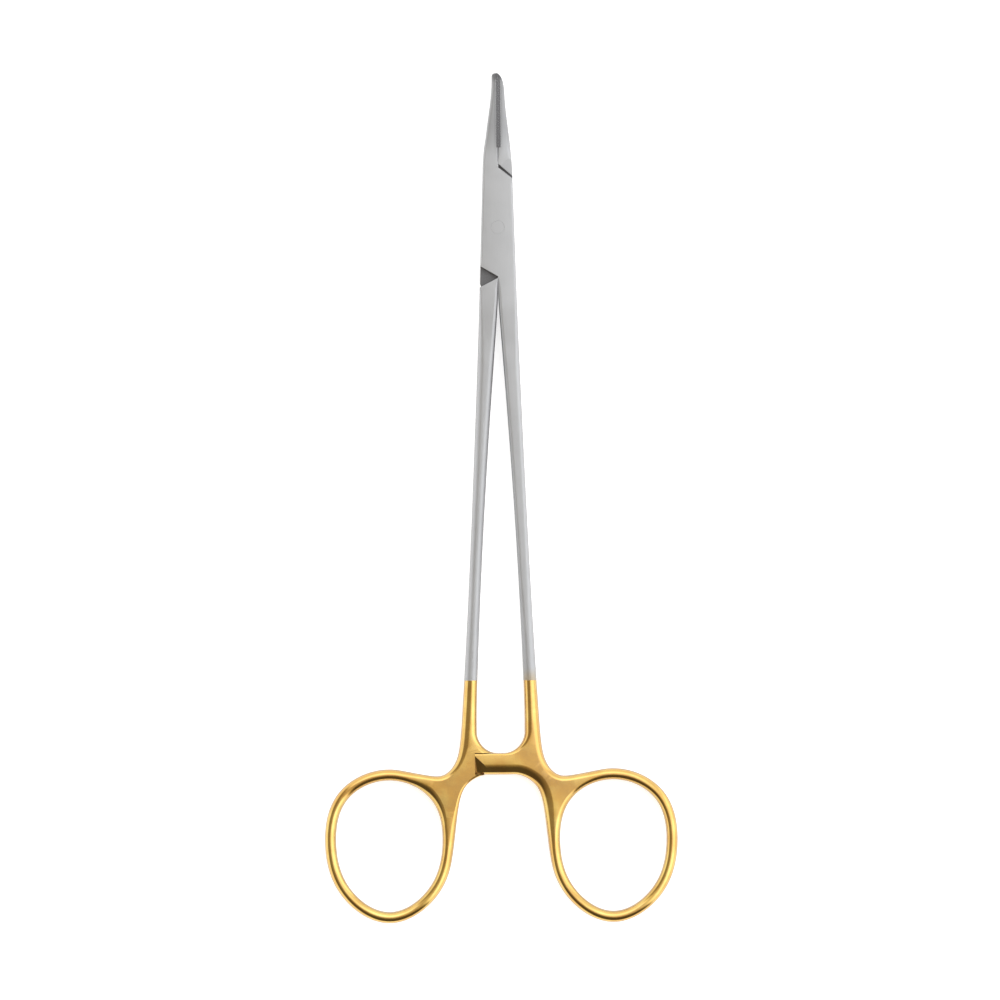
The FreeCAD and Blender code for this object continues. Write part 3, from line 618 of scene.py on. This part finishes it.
WALL_FRONT_SEAM = np.array([0.1, 12.75])
WALL_FRONT_FALL = 2.45
WALL_BACK_SEAM = np.array([HALF_SEAM, -10.4])
WALL_BACK_RISE = 2.25
NOSE_SIDE = 1.15
NOSE_ROUND = 0.65
FADE = 1.2            # length over which the side's rounding dies out at the edge of a wall
ARM_SPARE = 3.0       # the arm is forged this much too long, and cut flat

wall_front_side = side_at(WALL_FRONT_SEAM[1] - WALL_FRONT_FALL)
wall_back_side = mirrored_point(side_at(WALL_BACK_SEAM[1] + WALL_BACK_RISE))
fade_right = side_at(wall_front_side[1] - FADE)
fade_left = mirrored_point(side_at(wall_back_side[1] + FADE))
jaw_root = mirrored_point(LOCK_SIDE_FRONT)
root_run = -mirrored_point(SIDE_RUN)
left_jaw_face = 0.15
nose_centre = (-NOSE_SIDE + NOSE_ROUND, TIP - NOSE_ROUND)
left_jaw = flow([(-NOSE_SIDE, 31.2), (-NOSE_SIDE, 28.4), (-1.99, 22.9), (-2.53, 18.2),
                 jaw_root + root_run * 4.0, jaw_root], FINE_STEP)
right_rounds = {
    "inner": (0.7, 0.9, 0.85, 0.8, 0.9, 1.3, 1.5), "arm corners": (2.0, 2.5),
    "arm": (0.4, 1.4, 2.35), "arch": (2.4, 2.3, 1.7, 1.25, RIM_ROUND),
    "valley": (RIM_ROUND, 1.2, 1.4, 1.6), "outer": (1.6, 1.2, 0.9, 0.8, 0.9, 1.0, SIDE_ROUND)}
right_runs = handle_runs(WALL_BACK_SEAM, fade_right, ARM_REACH + ARM_SPARE, right_rounds) + [
    run(straight(fade_right, wall_front_side), SIDE_ROUND, SHARP),
    run(straight(wall_front_side, WALL_FRONT_SEAM), SHARP),
    run(straight(WALL_FRONT_SEAM, (left_jaw_face, JAW_FACE_BACK)), SHARP, 0.3, 0.3),
    run(straight((left_jaw_face, JAW_FACE_BACK), (left_jaw_face, TIP)), 0.3, SHARP),
    run(straight((left_jaw_face, TIP), (nose_centre[0], TIP)), SHARP, 0.4),
    run(arc(nose_centre, NOSE_ROUND, 90, 180, FINE_STEP / 2), 0.4, 0.55),
    run(straight((-NOSE_SIDE, nose_centre[1]), left_jaw[0]), 0.55, 0.8),
    run(left_jaw, 0.8, 0.7, 0.7, 0.6, 0.6, 0.5, SIDE_ROUND),
    run(straight(jaw_root, fade_left), SIDE_ROUND),
    run(straight(fade_left, wall_back_side), SIDE_ROUND, SHARP),
    run(straight(wall_back_side, WALL_BACK_SEAM), SHARP)]
finger_hole = ring_run(0, (0, 1))[::-1]
right_half = forging("right_half", [closed(right_runs), closed([run(finger_hole, RIM_ROUND)])],
                     FORGED)

# The slot is open at both sides of the lock and reaches a little past the walls at the seam. Its
# two stops end the turn of the tongue.

SLOT_HALF = 1.0
SLOT_PAST_FRONT = 2.6
SLOT_PAST_BACK = 1.9
STOP_PLAY = 0.05
PIN_HOLE_RADIUS = 1.42

slot_side = 9.0
slot_front = np.array([WALL_FRONT_SEAM[0], WALL_FRONT_SEAM[1] + SLOT_PAST_FRONT])
slot_back = np.array([WALL_BACK_SEAM[0], WALL_BACK_SEAM[1] - SLOT_PAST_BACK])
upper_stop = stop_line(mirrored_point(SIDE_FOOT), STOP_PLAY)
lower_stop = stop_line(SIDE_FOOT, STOP_PLAY)
right_border = ((slot_side, 0), (slot_side, 1))
left_border = ((-slot_side, 0), (-slot_side, 1))
slot = [meeting_point(*upper_stop, WALL_FRONT_SEAM, slot_front), slot_front,
        (slot_side, slot_front[1]), meeting_point(*lower_stop, *right_border),
        meeting_point(*lower_stop, WALL_BACK_SEAM, slot_back), slot_back,
        (-slot_side, slot_back[1]), meeting_point(*upper_stop, *left_border)]
combine(right_half, block("slot", slot, MIDDLE_PLANE - SLOT_HALF, MIDDLE_PLANE + SLOT_HALF, INNER))
combine(right_half, block("pin_hole", circle(PIN_HOLE_RADIUS), BELOW, ABOVE, INNER))

# The ratchet arm: its teeth, its end cut flat and a facet that slants down to the end. Then the
# bed of the jaw strip.

cut_ratchet(right_half, 1)
arm_end = [(-9, -118), (-ARM_REACH, -118), (-ARM_REACH, -110), (-9, -110)]
combine(right_half, block("arm_end", arm_end, BELOW, ABOVE, FORGED))
cut_facet(right_half, (-5.4, -112.0), (-3.4, -113.85), 20, HANDLE_HALF)
cut_rebate(right_half, -0.25, 0.71)
finish_normals(right_half)
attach(right_half, "box_side")
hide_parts("box_half")


# Left half. The other forging: the right jaw, the tongue that passes through the lock, the left
# shank, its ring and the lower ratchet arm. Same steel, same plating. The tongue turns on the
# pin.

SHANK_SHOULDER = np.array([HALF_SEAM, -10.7])
SHOULDER_FALL = 2.0


def mirrored_runs(runs):
    """The same runs on the other side of the middle line, in the order that keeps the material on
    their left."""
    return [piece[::-1] * (-1, 1, 1) for piece in reversed(runs)]


shoulder_side = side_at(SHANK_SHOULDER[1] - SHOULDER_FALL)
left_rounds = {
    "inner": (0.7, 1.1, 1.2, 1.15, 1.15, 1.15, 1.2), "arm corners": (1.3, 1.3),
    "arm": (1.2, 0.8, 0.5), "arch": (0.5, 0.7, 1.1, 1.2, RIM_ROUND),
    "valley": (RIM_ROUND, 1.0, 1.2, 1.9, 1.85),
    "outer": (1.85, 1.4, 1.25, 1.3, 1.5, 1.6, SIDE_ROUND)}
left_hole_rounds = (1.2, 1.2, 1.7, 2.0, 1.2, *[RIM_ROUND] * 15, 1.2)
left_runs = mirrored_runs(handle_runs(SHANK_SHOULDER, shoulder_side, ARM_REACH, left_rounds)) + [
    run(straight(mirrored_point(SHANK_SHOULDER), mirrored_point(shoulder_side)), SHARP, 0.2, SHARP)]
fading = 6     # points over which the side's rounding starts at the shoulder
left_runs[0][:fading, 2] = np.linspace(SHARP, SIDE_ROUND, fading)
left_hole = mirrored_runs([run(finger_hole, *left_hole_rounds)])
left_half = forging("left_half", [closed(left_runs), closed(left_hole)], FORGED)

# The right jaw ends at a shoulder in front of the lock's walls. A slanting facet, above and below,
# runs from the seam to the shoulder's corner.

JAW_SHOULDER = np.array([0.18, 13.45])
JAW_SHOULDER_GAP = 0.65     # between the walls and the shoulder, at the side
TIP_STEP = 0.08             # how much shorter than the left jaw it is

right_jaw_face = 0.155
jaw_shoulder_side = side_at(wall_front_side[1] + JAW_SHOULDER_GAP)
right_jaw = flow([LOCK_SIDE_FRONT, LOCK_SIDE_FRONT - SIDE_RUN * 4, (1.52, 26.3), (1.71, 29.5),
                  (1.08, 32.22), (right_jaw_face, TIP - TIP_STEP)], FINE_STEP)
jaw_runs = [run(straight(JAW_SHOULDER, jaw_shoulder_side), SHARP, 0.15, 0.04),
            run(straight(jaw_shoulder_side, LOCK_SIDE_FRONT), 0.04, 0.18),
            run(right_jaw, 0.18, SIDE_ROUND, 0.85, 0.75, 0.65, 0.6, 0.55, 0.55, 0.5, 0.5, SHARP),
            run(straight(right_jaw[-1], (right_jaw_face, JAW_FACE_BACK)), SHARP, 0.3),
            run(straight((right_jaw_face, JAW_FACE_BACK), JAW_SHOULDER), 0.3, 0.3, SHARP)]
jaw = forging("right_jaw", [closed(jaw_runs)], FORGED)
for face in (1, -1):
    cut_facet(jaw, (0.6, 13.1), (3.0, 15.0), 17, MIDDLE_PLANE, face)

# The tongue bites a little into the jaw and the shank that it joins. Between its two stops it is
# round the pin.

BITE = np.array([0, 0.5])
TONGUE_HALF = 0.95
BORE_RADIUS = 1.43

jaw_end = JAW_SHOULDER + BITE
shank_end = mirrored_point(SHANK_SHOULDER) - BITE
upper_stop = stop_line(mirrored_point(SIDE_FOOT), 0)
lower_stop = stop_line(SIDE_FOOT, 0)
foot_angle = math.degrees(math.atan2(SIDE_FOOT[1], SIDE_FOOT[0]))
tongue = np.vstack([
    shank_end, mirrored_point(side_at(shoulder_side[1] - BITE[1])) + (0.5, 0),
    mirrored_point(side_at(shoulder_side[1] + 0.9)) + (0.05, 0),
    arc((0, 0), HUB_RADIUS, 180 - foot_angle, 120 - foot_angle),
    meeting_point(*upper_stop, jaw_end, JAW_SHOULDER), jaw_end,
    side_at(jaw_shoulder_side[1] + BITE[1]),
    arc((0, 0), HUB_RADIUS, foot_angle, foot_angle - 60),
    meeting_point(*lower_stop, shank_end, mirrored_point(SHANK_SHOULDER))])
# The tongue's faces take the painted shade colour of the lock's inside.
tongue_slab = block("tongue", tongue, MIDDLE_PLANE - TONGUE_HALF, MIDDLE_PLANE + TONGUE_HALF, INNER)
combine(left_half, tongue_slab, "UNION")
combine(left_half, jaw, "UNION")
combine(left_half, block("bore", circle(BORE_RADIUS), BELOW, ABOVE, INNER))
cut_ratchet(left_half, -1)
cut_rebate(left_half, -0.21, 0.75)
finish_normals(left_half)
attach(left_half, "tenon_side")
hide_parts("tenon_half")


# Pivot pin. A plain steel pin, pressed into both walls of the lock and ground flush with them, so
# that only a faint ring shows.

pin_steel = plated_steel("pin_steel")
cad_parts["pivot_pin"].data.materials.clear()
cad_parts["pivot_pin"].data.materials.append(pin_steel)


# Jaw strips. Sintered hard metal, darker and duller than the steel, brazed into the rebates of
# the jaws, with crossed grooves on the faces that grip the needle.

hard_metal, hard_shader, hard_root = new_material("hard_metal")
hard_grain = hard_root.add("ShaderNodeTexCoord", output="Object").noise(4500, 3.0)
hard_root.connect(hard_shader, {
    "Base Color": hard_grain.blend((0.11, 0.11, 0.115, 1), (0.17, 0.17, 0.175, 1)),
    "Roughness": 0.35 + hard_grain * 0.15, "Metallic": 1.0})


def jaw_strip(name, body, face, inwards):
    """A strip along the jaw, its top and bottom flush with the jaw's. At the station y and the
    height z its gripping face lies back by a groove depth times the larger of two triangle waves
    of (y + z) / pitch and (y - z) / pitch, which makes rows of small pyramids, and it stays level
    beside the upper and lower edge."""
    thickness, pitch, depth, land = 0.48, 0.8, 0.12, 0.3
    rows, columns = 300, 56
    y = np.linspace(JAW_FACE_BACK, STRIP_FRONT, rows)[:, None]
    half = half_thickness(y)
    z = half * np.linspace(-1, 1, columns)
    waves = [np.abs(((y + way * z) / pitch) % 1 * 2 - 1) for way in (1, -1)]
    groove = np.clip(np.maximum(*waves) * 2 - 1, 0, 1) * np.clip((half - np.abs(z)) / land - 0.5, 0, 1)
    groove[[0, -1]] = 0
    x = face + inwards * depth * groove
    back = y * 0 + face + inwards * thickness
    around = columns + 2
    grid = np.dstack([np.hstack([back, x, back]), np.repeat(y, around, axis=1),
                      MIDDLE_PLANE + np.hstack([-half, z, half])])
    ids = np.arange(rows * around).reshape(rows, around)
    beside = np.roll(ids, -1, axis=1)
    quads = np.stack([ids[:-1], ids[1:], beside[1:], beside[:-1]], axis=-1).reshape(-1, 4)
    faces = quads.tolist() + [ids[0].tolist(), ids[-1, ::-1].tolist()]
    if inwards > 0:
        faces = [corners[::-1] for corners in faces]
    strip = mesh_object(name, grid.reshape(-1, 3), faces, [hard_metal])
    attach(strip, body)
    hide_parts(name.replace("strip_on_", "") + "_insert")


jaw_strip("strip_on_box_jaw", "box_side", 0.248, -1)
jaw_strip("strip_on_tenon_jaw", "tenon_side", 0.252, 1)


# Floor and studio light. A plain white floor under a bright tent with a dark opening overhead,
# to the left and behind the camera, which gives polished metal its dark stripes. A brighter panel
# stands at the lower right and a window in front.

FLOOR_HALF = 3     # in metres

floor_mesh = bpy.data.meshes.new("floor")
floor_mesh.from_pydata([(-FLOOR_HALF, -FLOOR_HALF, 0), (FLOOR_HALF, -FLOOR_HALF, 0),
                        (FLOOR_HALF, FLOOR_HALF, 0), (-FLOOR_HALF, FLOOR_HALF, 0)],
                       [], [(0, 1, 2, 3)])
floor = bpy.data.objects.new("floor", floor_mesh)
bpy.context.scene.collection.objects.link(floor)
paper, paper_shader, paper_root = new_material("floor_paper")
paper_root.connect(paper_shader, {
    "Base Color": (0.92, 0.92, 0.92, 1), "Roughness": 0.9,
    "Emission Color": (1, 1, 1, 1), "Emission Strength": 0.6})
floor_mesh.materials.append(paper)

TENT_GLOW = 1.22
PANEL_GLOW = 0.65
WINDOW_GLOW = 0.8

# A direction is told by where it meets a level ceiling one unit up: across to the right of the
# point overhead, and along towards the tip.
studio = bpy.data.worlds.new("studio")
studio.use_nodes = True
sky = Signal(studio.node_tree)
toward = sky.add("ShaderNodeTexCoord", output="Generated")
up = toward.axis(2)
above = sky.math("MAXIMUM", up, 0.02)
across = toward.axis(0) / above
along = toward.axis(1) / above
near_edge = (-across - 0.9 * along).step(-0.04, 0.18)
far_left = (-across).step(0.85, 1.5)
far_back = (-along).step(2.5, 4.0)
opening = near_edge * (1 - far_left) * (1 - far_back) * up.step(0.0, 0.1)
shade = 0.34 - (-along).step(0.05, 0.5) * 0.24
to_right = across * 0.7 - along * 0.8
panel = to_right.step(0.12, 0.3) * (1 - to_right.step(0.9, 1.4)) * (across + 0.2).step(0.0, 0.4)
window = along.step(0.12, 0.3) * (1 - along.step(0.7, 1.1)) * (1 - abs(across).step(0.25, 0.5))
tent = TENT_GLOW + panel * PANEL_GLOW + window * WINDOW_GLOW
sky.connect(studio.node_tree.nodes["Background"], {
    "Color": opening.blend((1, 1, 1, 1), (1, 0.84, 0.62, 1)),
    "Strength": tent * (1 - opening) + opening * shade})
bpy.context.scene.world = studio


# Camera, straight above the part, turned a little about its own axis as the part lies.

SENSOR = 36
FOCAL_LENGTH = 170
VIEW_WIDTH = 0.21214     # in metres, what the picture shows at the part's middle plane
VIEW_MIDDLE = (0.00014, -0.0577)
VIEW_TURN = -0.34

camera_data = bpy.data.cameras.new("camera")
camera_data.lens = FOCAL_LENGTH
camera_data.sensor_width = SENSOR
camera = bpy.data.objects.new("camera", camera_data)
bpy.context.scene.collection.objects.link(camera)
camera.location = (*VIEW_MIDDLE, MIDDLE_PLANE * MM + VIEW_WIDTH * FOCAL_LENGTH / SENSOR)
camera.rotation_euler = (0, 0, math.radians(VIEW_TURN))
bpy.context.scene.camera = camera
bpy.context.scene.view_settings.view_transform = "Standard"
